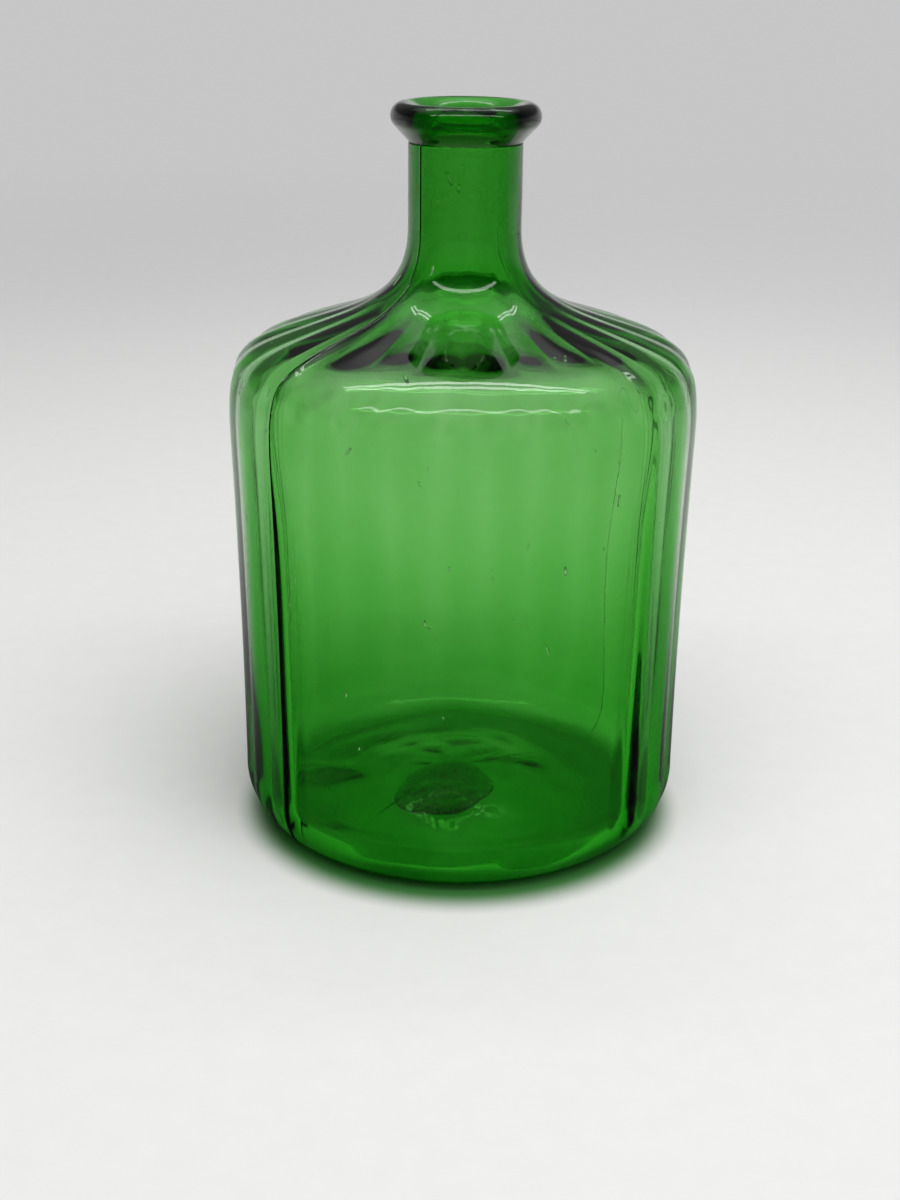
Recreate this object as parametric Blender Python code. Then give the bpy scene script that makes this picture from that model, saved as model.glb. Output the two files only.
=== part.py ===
"""A green glass bottle with vertical flutes, in metres.

The bottle stands on z = 0 round the Z axis, and its sunk label panel faces -Y.
Three pieces of glass make it: the blown body, the lip that was laid hot on the
neck's cut end, and the pad that the pontil rod left under the base.
Run with: blender --background --python part.py
"""
import math

import bmesh
import bpy
import numpy as np

# Body, with its radius on the ridges between the flutes
BODY_RADIUS = 0.0648
SIDE_SWELL = 0.0017
SIDE_TOP_HEIGHT = 0.1126

# The shoulder is two curves that meet where it is least steep. Each share is a
# handle's length over the span that it pulls along.
SHOULDER_HEIGHT = 0.0316
NECK_SPREAD = 0.0270
SHOULDER_FALL_DEGREES = 17.8
SHOULDER_RISE_SHARE = 0.75
SHOULDER_CROWN_SHARE = 0.98
NECK_SPREAD_SHARE = 0.57
NECK_RISE_SHARE = 0.70

# Neck
NECK_RADIUS = 0.0153
NECK_SWEEP_HEIGHT = 0.0260
NECK_STRAIGHT_HEIGHT = 0.0220

# Heel and base
HEEL_REACH = 0.0120
HEEL_HEIGHT = 0.0150
RESTING_RING_WIDTH = 0.0060
PUSH_UP_HEIGHT = 0.0070

# Glass thickness
BODY_WALL = 0.0034
NECK_WALL = 0.0043
BASE_THICKNESS = 0.0070
INNER_HEEL_REACH = 0.0110
INNER_HEEL_HEIGHT = 0.0120
FLOOR_FOLLOW_SHARE = 0.60

# Flutes: equal pitches round the body, some of them joined as the label panel
PITCHES = 25
PANEL_PITCHES = 7
FLUTE_DEPTH = 0.0009
FLUTE_FOOT_HEIGHT = 0.0025
FLUTE_FOOT_LENGTH = 0.0170
FLUTE_SHOULDER_REACH = 0.0090
FLUTE_NECK_MARGIN = 0.0050
FLUTE_INSIDE_SHARE = 0.50

# Label panel: sunk behind a ramp at each edge, and fluted again where it meets the
# shoulder. The rise is over the side's top, and the inset is from the body's radius.
PANEL_DEPTH = 0.0015
PANEL_RAMP_SHARE = 0.50
PANEL_FOOT_HEIGHT = 0.0050
PANEL_FOOT_LENGTH = 0.0080
PANEL_TOP_RISE = 0.0100
PANEL_TOP_LENGTH = 0.0220
PANEL_FLUTES_INSET = 0.0078
PANEL_FLUTES_REACH = 0.0090

# Lip: a round bead over a cone, with a mouth a step narrower than the neck's bore
LIP_HEIGHT = 0.0100
LIP_OVERHANG = 0.0048
LIP_BEAD_RADIUS = 0.0036
MOUTH_STEP = 0.0014
MOUTH_DEPTH = 0.0060
JOIN_CLEARANCE = 0.0003

# Pontil scar: an uneven pad on the push-up's ceiling, off the middle
SCAR_RADIUS = 0.0130
SCAR_THICKNESS = 0.0016
SCAR_SIDE_OFFSET = 0.0040
SCAR_FRONT_OFFSET = 0.0090
SCAR_CLEARANCE = 0.0003
SCAR_EDGE_LOBES = (2, 3, 5)
SCAR_EDGE_LOBE_SHARES = (0.10, 0.05, 0.04)

# Facets: columns round the axis, and steps along each stretch of an outline
COLUMNS_PER_PITCH = 4
LIP_COLUMNS = 64
SCAR_COLUMNS = 36
PUSH_UP_STEPS = 5
HEEL_STEPS = 6
SIDE_STEPS = 5
SHOULDER_STEPS = 8
SWEEP_STEPS = 6
NECK_STEPS = 1
INNER_SIDE_STEPS = 2
INNER_SHOULDER_STEPS = 6
INNER_SWEEP_STEPS = 5
INNER_HEEL_STEPS = 4
FLOOR_STEPS = 4
BEAD_STEPS = 8
MOUTH_STEPS = 5
SCAR_STEPS = 5
WELD_DISTANCE = 0.00001
SHARP_ANGLE_DEGREES = 35.0

# Linear colours of the glass, by how thick it lies
BODY_GREEN = (0.022, 0.270, 0.020)
LIP_GREEN = (0.012, 0.170, 0.022)
SCAR_GREEN = (0.006, 0.085, 0.010)
GLASS_ROUGHNESS = 0.04
SCAR_ROUGHNESS = 0.30
GLASS_IOR = 1.52

COLUMNS = PITCHES * COLUMNS_PER_PITCH
PITCH_ANGLE = math.tau / PITCHES
PANEL_HALF_ANGLE = PANEL_PITCHES * PITCH_ANGLE / 2
BODY_FOOT_RADIUS = BODY_RADIUS - SIDE_SWELL
SHOULDER_TURN_RADIUS = NECK_RADIUS + NECK_SPREAD
SHOULDER_TURN_HEIGHT = SIDE_TOP_HEIGHT + SHOULDER_HEIGHT
NECK_START_HEIGHT = SHOULDER_TURN_HEIGHT + NECK_SWEEP_HEIGHT
NECK_TOP_HEIGHT = NECK_START_HEIGHT + NECK_STRAIGHT_HEIGHT
LIP_FOOT_HEIGHT = NECK_TOP_HEIGHT + JOIN_CLEARANCE
TOTAL_HEIGHT = LIP_FOOT_HEIGHT + LIP_HEIGHT
RESTING_RING_OUTER_RADIUS = BODY_FOOT_RADIUS - HEEL_REACH
RESTING_RING_INNER_RADIUS = RESTING_RING_OUTER_RADIUS - RESTING_RING_WIDTH
NECK_BORE_RADIUS = NECK_RADIUS - NECK_WALL
MOUTH_RADIUS = NECK_BORE_RADIUS - MOUTH_STEP


def clear_scene():
    """Remove every object that the scene holds."""
    for old in list(bpy.data.objects):
        bpy.data.objects.remove(old, do_unlink=True)


def glass(name, colour, roughness):
    """Make a see-through glass of one colour."""
    material = bpy.data.materials.new(name)
    material.use_nodes = True
    shader = material.node_tree.nodes["Principled BSDF"]
    shader.inputs["Base Color"].default_value = (*colour, 1.0)
    shader.inputs["Roughness"].default_value = roughness
    shader.inputs["Metallic"].default_value = 0.0
    shader.inputs["IOR"].default_value = GLASS_IOR
    shader.inputs["Transmission Weight"].default_value = 1.0
    material.diffuse_color = (*colour, 1.0)
    return material


def oval_arc(centre, reach, rise, start_degrees, end_degrees, steps):
    """Points (radius, height) along part of an oval with level and upright axes."""
    turn = np.radians(np.linspace(start_degrees, end_degrees, steps + 1))
    return np.column_stack((centre[0] + reach * np.cos(turn), centre[1] + rise * np.sin(turn)))


def pulled_curve(start, start_handle, end_handle, end, steps):
    """Points along a cubic curve between two points with a handle at each."""
    share = np.linspace(0, 1, steps + 1)[:, None]
    back = 1 - share
    corners = [np.array(corner) for corner in (start, start_handle, end_handle, end)]
    weights = (back**3, 3 * back**2 * share, 3 * back * share**2, share**3)
    return sum(weight * corner for weight, corner in zip(weights, corners))


def side(low_height, steps):
    """Outer points up the side, which swells with the square of the height over the heel.

    The steps are short near the foot, where the flutes end.
    """
    heights = low_height + (SIDE_TOP_HEIGHT - low_height) * np.linspace(0, 1, steps + 1) ** 2
    share = (heights - HEEL_HEIGHT) / (SIDE_TOP_HEIGHT - HEEL_HEIGHT)
    return np.column_stack((BODY_FOOT_RADIUS + SIDE_SWELL * share**2, heights))


def shoulder_and_neck(shoulder_steps, sweep_steps):
    """Outer points from the side's top over the shoulder and up the neck to its cut end."""
    fall = math.radians(SHOULDER_FALL_DEGREES)
    turn = np.array((SHOULDER_TURN_RADIUS, SHOULDER_TURN_HEIGHT))
    downhill = np.array((math.cos(fall), -math.sin(fall)))
    side_lean = 2 * SIDE_SWELL / (SIDE_TOP_HEIGHT - HEEL_HEIGHT)
    rise = SHOULDER_RISE_SHARE * SHOULDER_HEIGHT
    crown = SHOULDER_CROWN_SHARE * (BODY_RADIUS - SHOULDER_TURN_RADIUS)
    spread = NECK_SPREAD_SHARE * NECK_SPREAD
    neck_rise = NECK_RISE_SHARE * NECK_SWEEP_HEIGHT
    shoulder = pulled_curve(
        (BODY_RADIUS, SIDE_TOP_HEIGHT),
        (BODY_RADIUS + rise * side_lean, SIDE_TOP_HEIGHT + rise),
        turn + crown * downhill,
        turn,
        shoulder_steps,
    )
    sweep = pulled_curve(
        turn,
        turn - spread * downhill,
        (NECK_RADIUS, NECK_START_HEIGHT - neck_rise),
        (NECK_RADIUS, NECK_START_HEIGHT),
        sweep_steps,
    )
    heights = np.linspace(NECK_START_HEIGHT, NECK_TOP_HEIGHT, NECK_STEPS + 1)
    neck = np.column_stack((np.full_like(heights, NECK_RADIUS), heights))
    return np.vstack((shoulder, sweep[1:], neck[1:]))


def push_up_ceiling(radius):
    """Height of the hollow under the base, a smooth dome inside the resting ring."""
    share = np.clip(radius / RESTING_RING_INNER_RADIUS, 0, 1)
    return PUSH_UP_HEIGHT * (1 + np.cos(math.pi * share)) / 2


def outer_profile():
    """Outer points from the middle of the push-up to the neck's cut end."""
    radii = np.linspace(0, RESTING_RING_INNER_RADIUS, PUSH_UP_STEPS + 1)
    push_up = np.column_stack((radii, push_up_ceiling(radii)))
    heel_centre = (RESTING_RING_OUTER_RADIUS, HEEL_HEIGHT)
    heel = oval_arc(heel_centre, HEEL_REACH, HEEL_HEIGHT, -90, 0, HEEL_STEPS)
    up_the_side = side(HEEL_HEIGHT, SIDE_STEPS)
    upper = shoulder_and_neck(SHOULDER_STEPS, SWEEP_STEPS)
    return np.vstack((push_up, heel, up_the_side[1:], upper[1:]))


def left_of_run(profile):
    """Unit direction (radius, height) to the left of a profile's run at each point."""
    run = np.gradient(profile, axis=0)
    normal = np.column_stack((-run[:, 1], run[:, 0]))
    return normal / np.linalg.norm(normal, axis=1)[:, None]


def wall_profile():
    """Inner points from the neck's cut end down the wall to the inner heel."""
    outer = np.vstack((
        side(BASE_THICKNESS + INNER_HEEL_HEIGHT, INNER_SIDE_STEPS),
        shoulder_and_neck(INNER_SHOULDER_STEPS, INNER_SWEEP_STEPS)[1:],
    ))
    climb = (outer[:, 1] - SIDE_TOP_HEIGHT) / (NECK_START_HEIGHT - SIDE_TOP_HEIGHT)
    wall = BODY_WALL + (NECK_WALL - BODY_WALL) * np.clip(climb, 0, 1)
    return (outer + wall[:, None] * left_of_run(outer))[::-1]


def floor_profile(wall_foot_radius):
    """Inner points from the foot of the wall round the inner heel to the floor's middle."""
    heel_radius = wall_foot_radius - INNER_HEEL_REACH
    heel_centre = (heel_radius, BASE_THICKNESS + INNER_HEEL_HEIGHT)
    heel = oval_arc(heel_centre, INNER_HEEL_REACH, INNER_HEEL_HEIGHT, 0, -90, INNER_HEEL_STEPS)
    radii = np.linspace(heel_radius, 0, FLOOR_STEPS + 1)
    dome = FLOOR_FOLLOW_SHARE * push_up_ceiling(radii)
    floor = np.column_stack((radii, BASE_THICKNESS + dome))
    return np.vstack((heel[1:], floor[1:]))


def flute_strength(profile):
    """Share of the full flute depth at each point: all of it on the side, none at the neck."""
    end_radius = NECK_RADIUS + FLUTE_NECK_MARGIN
    span = BODY_RADIUS - FLUTE_SHOULDER_REACH - end_radius
    share = np.clip((profile[:, 0] - end_radius) / span, 0, 1)
    return share**2 * (3 - 2 * share)


def panel_flute_strength(profile):
    """Share of the flute depth over the label panel: none of it below the shoulder."""
    inset = BODY_RADIUS - PANEL_FLUTES_INSET - profile[:, 0]
    share = np.clip(inset / PANEL_FLUTES_REACH, 0, 1) * (profile[:, 1] > SIDE_TOP_HEIGHT)
    return share * flute_strength(profile)


def panel_strength(profile):
    """Share of the label panel's depth, which fades out towards its foot and its top."""
    foot = (profile[:, 1] - PANEL_FOOT_HEIGHT) / PANEL_FOOT_LENGTH
    top = (SIDE_TOP_HEIGHT + PANEL_TOP_RISE - profile[:, 1]) / PANEL_TOP_LENGTH
    return np.clip(np.minimum(foot, top), 0, 1)


def pitches_past_panel(azimuth):
    """Pitches from the label panel's edge, below 0 on the panel.

    Azimuth is measured from the panel's middle.
    """
    return (abs(math.remainder(azimuth, math.tau)) - PANEL_HALF_ANGLE) / PITCH_ANGLE


def flute_bowl(pitches_past, height):
    """Share of the depth at one place of a flute: a shallow bowl with an oval foot."""
    across = 2 * (pitches_past - math.floor(pitches_past)) - 1
    down = max(0, (FLUTE_FOOT_HEIGHT + FLUTE_FOOT_LENGTH - height) / FLUTE_FOOT_LENGTH)
    return max(0, 1 - across**2 - down**2)


def profile_wire(profile, closed=False):
    """Start a bmesh with a profile of (radius, height) points, drawn on the panel's middle."""
    shape = bmesh.new()
    verts = [shape.verts.new((0, -radius, height)) for radius, height in profile]
    for pair in zip(verts, verts[1:]):
        shape.edges.new(pair)
    if closed:
        shape.edges.new((verts[-1], verts[0]))
    return shape


def spin(shape, columns):
    """Carry the profile once round the Z axis and weld the seam and the poles."""
    bmesh.ops.spin(
        shape,
        geom=list(shape.verts) + list(shape.edges),
        cent=(0, 0, 0),
        axis=(0, 0, 1),
        angle=math.tau,
        steps=columns,
    )
    bmesh.ops.remove_doubles(shape, verts=shape.verts, dist=WELD_DISTANCE)
    bmesh.ops.recalc_face_normals(shape, faces=shape.faces)


def press_hollows(shape, out, up, flute, panel_flute, panel):
    """Push each point into the glass, as far as the flutes and the panel are deep there."""
    for vert in shape.verts:
        azimuth = math.atan2(vert.co.x, -vert.co.y)
        past = pitches_past_panel(azimuth)
        strength = vert[flute] if past > 0 else vert[panel_flute]
        dip = FLUTE_DEPTH * strength * flute_bowl(past, vert.co.z)
        dip += PANEL_DEPTH * vert[panel] * min(max(-past / PANEL_RAMP_SHARE, 0), 1)
        vert.co.x += dip * vert[out] * math.sin(azimuth)
        vert.co.y -= dip * vert[out] * math.cos(azimuth)
        vert.co.z += dip * vert[up]


def add_piece(name, shape, material):
    """Turn a bmesh into a named object with smooth shading and its material."""
    mesh = bpy.data.meshes.new(name)
    shape.to_mesh(mesh)
    shape.free()
    mesh.shade_smooth()
    mesh.set_sharp_from_angle(angle=math.radians(SHARP_ANGLE_DEGREES))
    mesh.materials.append(material)
    piece = bpy.data.objects.new(name, mesh)
    bpy.context.scene.collection.objects.link(piece)
    return piece


def make_body():
    """The blown vessel: push-up base, fluted side, shoulder and neck, open at the top."""
    outer = outer_profile()
    wall = wall_profile()
    floor = floor_profile(wall[-1, 0])
    columns = [np.vstack((left_of_run(outer), -left_of_run(wall), np.zeros_like(floor)))]
    for strength in (flute_strength, panel_flute_strength, panel_strength):
        inside = FLUTE_INSIDE_SHARE * strength(wall)
        columns.append(np.concatenate((strength(outer), inside, np.zeros(len(floor)))))
    shape = profile_wire(np.vstack((outer, wall, floor)))
    names = ("out", "up", "flute", "panel_flute", "panel")
    layers = [shape.verts.layers.float.new(name) for name in names]
    for vert, values in zip(shape.verts, np.column_stack(columns)):
        for layer, value in zip(layers, values):
            vert[layer] = value
    spin(shape, COLUMNS)
    press_hollows(shape, *layers)
    return add_piece("bottle_body", shape, glass("green_glass", BODY_GREEN, GLASS_ROUGHNESS))


def make_lip():
    """The laid-on lip: a cone off the neck's cut end under a round bead, with its mouth."""
    foot = np.array((NECK_RADIUS, LIP_FOOT_HEIGHT))
    bead = np.array((NECK_RADIUS + LIP_OVERHANG - LIP_BEAD_RADIUS, TOTAL_HEIGHT - LIP_BEAD_RADIUS))
    reach = bead - foot
    bearing = math.atan2(reach[1], reach[0])
    tangent = bearing - math.pi / 2 - math.asin(LIP_BEAD_RADIUS / math.hypot(*reach))
    tangent_degrees = math.degrees(tangent)
    outside = oval_arc(bead, LIP_BEAD_RADIUS, LIP_BEAD_RADIUS, tangent_degrees, 90, BEAD_STEPS)
    mouth_centre = (bead[0], TOTAL_HEIGHT - MOUTH_DEPTH)
    mouth = oval_arc(mouth_centre, bead[0] - MOUTH_RADIUS, MOUTH_DEPTH, 90, 180, MOUTH_STEPS)
    bore_foot = (NECK_BORE_RADIUS, LIP_FOOT_HEIGHT)
    shape = profile_wire(np.vstack((foot, outside, mouth[1:], bore_foot)), closed=True)
    spin(shape, LIP_COLUMNS)
    return add_piece("applied_lip", shape, glass("lip_glass", LIP_GREEN, GLASS_ROUGHNESS))


def make_scar():
    """The uneven pad of glass that hugs the push-up's ceiling, a little off the middle."""
    share = np.linspace(0, 1, SCAR_STEPS + 1)
    under = np.column_stack((SCAR_RADIUS * share, -SCAR_THICKNESS * np.sqrt(1 - share**2)))
    over = np.column_stack((SCAR_RADIUS * share[:-1], np.zeros(SCAR_STEPS)))
    shape = profile_wire(np.vstack((under, over[::-1])))
    spin(shape, SCAR_COLUMNS)
    for vert in shape.verts:
        azimuth = math.atan2(vert.co.y, vert.co.x)
        lobes = zip(SCAR_EDGE_LOBES, SCAR_EDGE_LOBE_SHARES)
        swell = 1 + sum(height * math.cos(lobe * azimuth + lobe) for lobe, height in lobes)
        vert.co.x = vert.co.x * swell - SCAR_SIDE_OFFSET
        vert.co.y = vert.co.y * swell - SCAR_FRONT_OFFSET
        vert.co.z += push_up_ceiling(math.hypot(vert.co.x, vert.co.y)) - SCAR_CLEARANCE
    return add_piece("pontil_scar", shape, glass("scar_glass", SCAR_GREEN, SCAR_ROUGHNESS))


def main():
    """Build the three pieces of glass in their places."""
    clear_scene()
    make_body()
    make_lip()
    make_scar()


main()
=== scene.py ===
"""The looks of a green glass bottle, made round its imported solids.

Everything is in metres, in the solids' own frame: the bottle stands on z = 0 round the
Z axis, and its smooth label panel faces -Y. Three pieces of glass make it: the blown
body, the lip that was laid hot on the neck's cut end, and the scar that the pontil rod
left under the base. An azimuth is measured from the middle of the panel towards +X.
"""

import logging
import math
from dataclasses import dataclass
from enum import Enum

import bpy
import numpy as np
from mathutils import Matrix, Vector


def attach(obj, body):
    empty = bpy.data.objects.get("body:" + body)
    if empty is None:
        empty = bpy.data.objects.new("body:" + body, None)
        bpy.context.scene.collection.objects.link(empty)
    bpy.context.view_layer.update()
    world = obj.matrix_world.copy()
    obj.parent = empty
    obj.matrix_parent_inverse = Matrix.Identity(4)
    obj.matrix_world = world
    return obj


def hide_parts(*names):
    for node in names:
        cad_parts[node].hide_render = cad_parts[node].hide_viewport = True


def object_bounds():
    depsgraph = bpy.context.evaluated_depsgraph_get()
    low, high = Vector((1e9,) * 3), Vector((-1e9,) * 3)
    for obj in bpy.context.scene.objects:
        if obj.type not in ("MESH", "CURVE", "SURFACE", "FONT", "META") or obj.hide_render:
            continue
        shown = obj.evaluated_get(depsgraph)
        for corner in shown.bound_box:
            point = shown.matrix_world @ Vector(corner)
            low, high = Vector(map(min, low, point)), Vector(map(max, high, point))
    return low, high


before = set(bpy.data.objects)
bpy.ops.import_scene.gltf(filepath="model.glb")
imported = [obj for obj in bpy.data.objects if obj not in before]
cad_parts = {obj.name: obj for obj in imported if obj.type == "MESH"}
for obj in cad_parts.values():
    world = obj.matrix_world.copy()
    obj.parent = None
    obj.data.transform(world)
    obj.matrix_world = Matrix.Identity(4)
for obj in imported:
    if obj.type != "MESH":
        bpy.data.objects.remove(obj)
solids_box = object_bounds()

LOG = logging.getLogger("green_bottle")
MM = 0.001
# An edge whose faces turn by more than this stays sharp
SHARP_DEGREES = 50.0
# How a Map Range node eases in and out
SMOOTH = {"interpolation_type": "SMOOTHSTEP"}


class Node(Enum):
    """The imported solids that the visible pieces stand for."""

    BODY = "bottle_body"
    LIP = "applied_lip"
    SCAR = "pontil_scar"


class Slot(Enum):
    """The record's material slots."""

    BODY = "body_glass"
    LIP = "lip_glass"
    SCAR = "scar_glass"


def linear(code: str) -> tuple[float, float, float, float]:
    """Turn an sRGB hex colour into linear light.

    Args:
        code: The colour as #RRGGBB.

    Returns:
        Linear red, green and blue, and an alpha of 1.
    """
    shares = [int(code[at:at + 2], 16) / 255 for at in (1, 3, 5)]
    light = [s / 12.92 if s <= 0.04045 else ((s + 0.055) / 1.055) ** 2.4 for s in shares]
    return (*light, 1.0)


def ease(low: float, high: float, value: np.ndarray) -> np.ndarray:
    """Share that rises from 0 to 1, as 3 s² - 2 s³, while the value goes from low to high."""
    share = np.clip((value - low) / (high - low), 0, 1)
    return share * share * (3 - 2 * share)


def oval_arc(centre: tuple[float, float], reach: float, rise: float,
             start_degrees: float, end_degrees: float, steps: int) -> np.ndarray:
    """Rows of (radius, height) along an oval: centre + (reach cos t, rise sin t)."""
    turn = np.radians(np.linspace(start_degrees, end_degrees, steps + 1))
    return np.column_stack((centre[0] + reach * np.cos(turn), centre[1] + rise * np.sin(turn)))


def pulled_curve(corners: tuple[np.ndarray, ...], steps: int) -> np.ndarray:
    """Points along a cubic curve: the corners weighted by (1-s)³, 3(1-s)²s, 3(1-s)s² and s³.

    Args:
        corners: Start, its handle, the end's handle and the end, as (radius, height).
        steps: Number of steps along the curve.

    Returns:
        Rows of (radius, height).
    """
    share = np.linspace(0, 1, steps + 1)[:, None]
    back = 1 - share
    weights = (back**3, 3 * back**2 * share, 3 * back * share**2, share**3)
    return sum(weight * np.asarray(corner) for weight, corner in zip(weights, corners))


def left_of_run(profile: np.ndarray) -> np.ndarray:
    """Unit direction to the left of a profile's run: its slope turned by a quarter.

    Args:
        profile: Rows of (radius, height).

    Returns:
        Rows of unit (radius, height).
    """
    run = np.gradient(profile, axis=0)
    normal = np.column_stack((-run[:, 1], run[:, 0]))
    return normal / np.linalg.norm(normal, axis=1)[:, None]


def length_along(profile: np.ndarray) -> np.ndarray:
    """Length of a profile up to each of its points: the sum of the steps before it."""
    return np.cumsum(np.linalg.norm(np.diff(profile, axis=0, prepend=profile[:1]), axis=1))


def whole_turn(count: int) -> np.ndarray:
    """Even azimuths once round the axis, from 0: a full turn · number / count."""
    return np.arange(count) / count * math.tau


def turned(radius: np.ndarray, height: np.ndarray | float, azimuth: np.ndarray) -> np.ndarray:
    """Points x, y, z round the axis: (radius sin azimuth, -radius cos azimuth, height)."""
    x, y, z = np.broadcast_arrays(radius * np.sin(azimuth), -radius * np.cos(azimuth), height)
    return np.stack((x, y, z), axis=-1)


@dataclass(frozen=True)
class Ripple:
    """Smooth unevenness that hot glass keeps, as a sum of waves.

    The height is size / √count times the sum of cos(turns · azimuth + climb · height +
    phase). The turns are whole numbers, so the waves close round the axis.
    """

    size: float
    count: int
    most_turns: int
    shortest_wave: float
    seed: int

    def height(self, azimuth: np.ndarray, height: np.ndarray) -> np.ndarray:
        """Height of the unevenness on a grid.

        Args:
            azimuth: One azimuth for each column.
            height: One place along the glass for each ring.

        Returns:
            An array of rings by columns.
        """
        draw = np.random.default_rng(self.seed)
        turns = draw.integers(-self.most_turns, self.most_turns + 1, self.count)
        climb = draw.uniform(-1, 1, self.count) * math.tau / self.shortest_wave
        phase = draw.uniform(0, math.tau, self.count)
        angle = (height[:, None] * climb)[:, None, :] + (azimuth[:, None] * turns + phase)[None, :, :]
        return self.size / math.sqrt(self.count) * np.cos(angle).sum(axis=-1)


class MeshDraft:
    """Points and faces of one closed mesh, gathered as whole arrays.

    Faces point to the side on which the columns run round to the right when the rings
    run up, so a profile that runs up the outside and down the inside is right all over.
    """

    def __init__(self) -> None:
        """Start with no points and no faces."""
        self.points: list[np.ndarray] = []
        self.quads: list[np.ndarray] = []
        self.triangles: list[np.ndarray] = []
        self.count = 0

    def add_points(self, points: np.ndarray) -> np.ndarray:
        """Add points.

        Args:
            points: An array with a last axis of x, y and z.

        Returns:
            Their numbers, in the array's own shape.
        """
        flat = points.reshape(-1, 3)
        numbers = self.count + np.arange(len(flat)).reshape(points.shape[:-1])
        self.points.append(flat)
        self.count += len(flat)
        return numbers

    def add_bands(self, rings: np.ndarray) -> None:
        """Join each ring of a grid to the next with four-sided faces.

        Args:
            rings: Point numbers, rings by columns.
        """
        here, there = rings[:-1], rings[1:]
        corners = (here, np.roll(here, -1, axis=1), np.roll(there, -1, axis=1), there)
        self.quads.append(np.stack(corners, axis=-1).reshape(-1, 4))

    def add_fan(self, ring: np.ndarray, pole: int, at_start: bool) -> None:
        """Close a ring with triangles to a point on the axis.

        Args:
            ring: Point numbers round the ring.
            pole: The point's number.
            at_start: Whether the profile starts at the pole.
        """
        after = np.roll(ring, -1)
        pair = (after, ring) if at_start else (ring, after)
        self.triangles.append(np.column_stack((*pair, np.full(len(ring), pole))))

    def add_zip(self, first: np.ndarray, first_azimuth: np.ndarray,
                second: np.ndarray, second_azimuth: np.ndarray) -> None:
        """Join two rings that have different columns, in the order of their azimuths.

        Args:
            first: Point numbers of the ring that the profile reaches first.
            first_azimuth: Its azimuths, in rising order.
            second: Point numbers of the next ring.
            second_azimuth: Its azimuths, in rising order.
        """
        order = np.argsort(np.concatenate((first_azimuth, second_azimuth)), kind="stable")
        on_first = order < len(first)
        first_now = np.cumsum(on_first) - 1
        second_now = np.cumsum(~on_first) - 1
        tip = np.where(on_first, first[first_now], second[second_now])
        first_before = first[first_now - on_first]
        second_before = second[second_now - ~on_first]
        self.triangles.append(np.column_stack((first_before, tip, second_before)))

    def make(self, name: str, material: bpy.types.Material) -> bpy.types.Object:
        """Turn the draft into a smooth-shaded object.

        Args:
            name: The piece's name.
            material: Its material.

        Returns:
            The object, at the origin, with its place in its mesh.
        """
        faces = [*self.quads, *self.triangles]
        corners = np.concatenate([part.ravel() for part in faces]).astype(np.int32)
        sizes = np.concatenate([np.full(len(part), part.shape[1]) for part in faces])
        starts = np.concatenate(([0], np.cumsum(sizes)[:-1])).astype(np.int32)
        points = np.concatenate(self.points)
        mesh = bpy.data.meshes.new(name)
        mesh.vertices.add(len(points))
        mesh.vertices.foreach_set("co", points.astype(np.float32).ravel())
        mesh.loops.add(len(corners))
        mesh.loops.foreach_set("vertex_index", corners)
        mesh.polygons.add(len(sizes))
        mesh.polygons.foreach_set("loop_start", starts)
        mesh.update(calc_edges=True)
        mesh.validate()
        mesh.shade_smooth()
        mesh.set_sharp_from_angle(angle=math.radians(SHARP_DEGREES))
        mesh.materials.append(material)
        piece = bpy.data.objects.new(name, mesh)
        bpy.context.scene.collection.objects.link(piece)
        return piece


def add_node(tree: bpy.types.NodeTree, kind: str, inputs: dict | tuple = (),
             **settings: object) -> bpy.types.Node:
    """Add a shader node with its settings and links.

    Args:
        tree: The tree that it goes into.
        kind: The node's type, without ShaderNode in front.
        inputs: What the input sockets get, in their order or by their names or numbers:
            a value, the socket that feeds it, or a node, whose first output in use does.
        settings: The node's own properties.

    Returns:
        The node.
    """
    node = tree.nodes.new("ShaderNode" + kind)
    for name, value in settings.items():
        setattr(node, name, value)
    for key, value in inputs.items() if isinstance(inputs, dict) else enumerate(inputs):
        if isinstance(value, bpy.types.Node):
            value = next(socket for socket in value.outputs if socket.enabled)
        if isinstance(value, bpy.types.NodeSocket):
            tree.links.new(value, node.inputs[key])
        else:
            node.inputs[key].default_value = value
    return node


def empty_tree(owner: bpy.types.Material | bpy.types.World) -> bpy.types.NodeTree:
    """Give a material or a world a shader tree without nodes.

    Args:
        owner: The material or world.

    Returns:
        The tree.
    """
    owner.use_nodes = True
    owner.node_tree.nodes.clear()
    return owner.node_tree


def dim_in_mirrors(tree: bpy.types.NodeTree, side: bpy.types.NodeSocket,
                   reach: tuple[float, float], share: float) -> bpy.types.Node:
    """Add nodes for a strength of 1 that is lower for mirror-like skins, on one side.

    Args:
        tree: The tree that they go into.
        side: The coordinate with which it rises for such skins, from the share to 1.
        reach: Where the rise starts and ends.
        share: The strength before the rise.

    Returns:
        The node that gives the strength.
    """
    path = add_node(tree, "LightPath").outputs
    in_mirror = add_node(tree, "Math", (path["Is Glossy Ray"], path["Is Reflection Ray"]),
                         operation="MULTIPLY")
    rising = add_node(tree, "MapRange", (side, *reach, share, 1.0), **SMOOTH)
    return add_node(tree, "Mix", {0: in_mirror, 2: 1.0, 3: rising}, data_type="FLOAT")


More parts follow.
